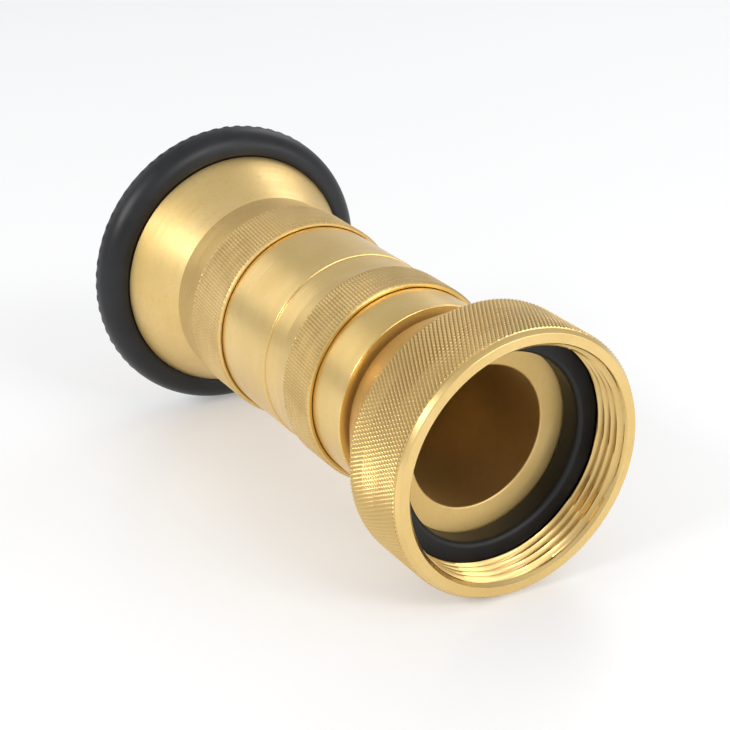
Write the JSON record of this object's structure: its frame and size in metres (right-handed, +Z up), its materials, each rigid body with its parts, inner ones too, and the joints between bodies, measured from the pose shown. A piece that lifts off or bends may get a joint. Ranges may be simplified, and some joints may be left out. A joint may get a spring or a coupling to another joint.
{
  "type": "fire hose nozzle",
  "caption": "Brass fog nozzle with a swivelling threaded hose coupling, a twist head that slides on the barrel over a fixed baffle, and a toothed rubber bumper.",
  "frame": {"origin": "on the nozzle's axis, in the plane of the swivel coupling's inlet rim", "axes": "+Y along the axis from the hose inlet to the outlet, +Z up, +X to the right of the flow"},
  "size_m": [0.0806, 0.149, 0.0806],
  "materials": {
    "turned_brass": "machined with fine turning lines, satin, knurled on the grips",
    "satin_brass": "satin, soft, slightly mottled",
    "cast_brass": "as cast, matt",
    "stainless_steel": "brushed",
    "ball_steel": "polished bearing balls",
    "gasket_rubber": "smooth moulded, slightly glossy",
    "bumper_rubber": "smooth moulded, satin",
    "seal_rubber": "smooth, matt"
  },
  "bodies": {
    "nozzle_body": {"tail_tube": "turned_brass", "barrel": "turned_brass", "barrel_o_ring": "seal_rubber", "flow_spider": "cast_brass", "baffle_stem": "turned_brass", "stem_washer": "stainless_steel", "stem_nut": "stainless_steel", "seal_retainer": "turned_brass", "baffle_seal": "seal_rubber", "baffle_head": "turned_brass", "baffle_screw": "stainless_steel", "land_o_ring": "seal_rubber"},
    "coupling": {"swivel_coupling": "turned_brass", "ball_port_plug": "turned_brass", "hose_gasket": "gasket_rubber", "dust_ring": "seal_rubber"},
    "ball_row": {"race_ball_01": "ball_steel", "race_ball_02": "ball_steel", "race_ball_03": "ball_steel", "race_ball_04": "ball_steel", "race_ball_05": "ball_steel", "race_ball_06": "ball_steel", "race_ball_07": "ball_steel", "race_ball_08": "ball_steel", "race_ball_09": "ball_steel", "race_ball_10": "ball_steel", "race_ball_11": "ball_steel", "race_ball_12": "ball_steel", "race_ball_13": "ball_steel", "race_ball_14": "ball_steel", "race_ball_15": "ball_steel", "race_ball_16": "ball_steel", "race_ball_17": "ball_steel", "race_ball_18": "ball_steel", "race_ball_19": "ball_steel", "race_ball_20": "ball_steel", "race_ball_21": "ball_steel", "race_ball_22": "ball_steel", "race_ball_23": "ball_steel", "race_ball_24": "ball_steel"},
    "head_carrier": {"friction_ring": "seal_rubber"},
    "pattern_head": {"head": "satin_brass", "rubber_bumper": "bumper_rubber"}
  },
  "joints": [
    {"name": "coupling_swivel", "type": "hinge", "parent": "nozzle_body", "child": "coupling", "pos_m": [0, 0.021, 0], "axis": [0, 1, 0], "continuous": true},
    {"name": "ball_row_roll", "type": "hinge", "parent": "nozzle_body", "child": "ball_row", "pos_m": [0, 0.021, 0], "axis": [0, 1, 0], "continuous": true},
    {"name": "head_slide", "type": "slide", "parent": "nozzle_body", "child": "head_carrier", "axis": [0, -1, 0], "range_m": [0, 0.01001]},
    {"name": "pattern_turn", "type": "hinge", "parent": "head_carrier", "child": "pattern_head", "pos_m": [0, 0.12, 0], "axis": [0, -1, 0], "range_deg": [0, 450]}
  ],
  "couplings": [
    {"joint": "ball_row_roll", "follows": "coupling_swivel", "ratio": 0.5},
    {"joint": "head_slide", "follows": "pattern_turn", "m_per_rad": 0.0012732}
  ]
}
